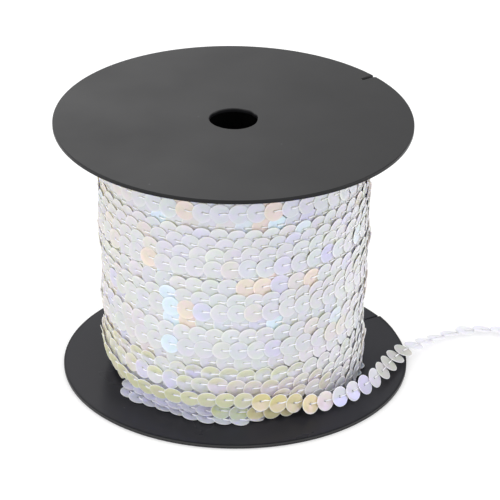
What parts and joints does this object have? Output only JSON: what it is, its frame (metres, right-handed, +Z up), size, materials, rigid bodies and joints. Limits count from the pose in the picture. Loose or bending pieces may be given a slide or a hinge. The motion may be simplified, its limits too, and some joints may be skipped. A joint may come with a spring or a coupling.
{
  "type": "sequin trim on a spool",
  "caption": "String of small flat round iridescent sequins wound on a plain flanged spool, with its free end lying over the lower flange.",
  "frame": {"origin": "on the spool's axis, on the underside of the bottom flange", "axes": "+Z up the spool's axis, +X to the right as seen from the front, where the free end comes off, -Y to the front"},
  "size_m": [0.1462, 0.1042, 0.0808],
  "materials": {
    "spool_plastic": "black moulded plastic with a soft satin face",
    "sequins": "translucent white film with a pearl, iridescent sheen, threaded on white yarn"
  },
  "bodies": {
    "root": {"flange_bottom": "spool_plastic", "hub": "spool_plastic", "flange_top": "spool_plastic", "winding": "sequins", "loose_end": "sequins"}
  },
  "joints": []
}
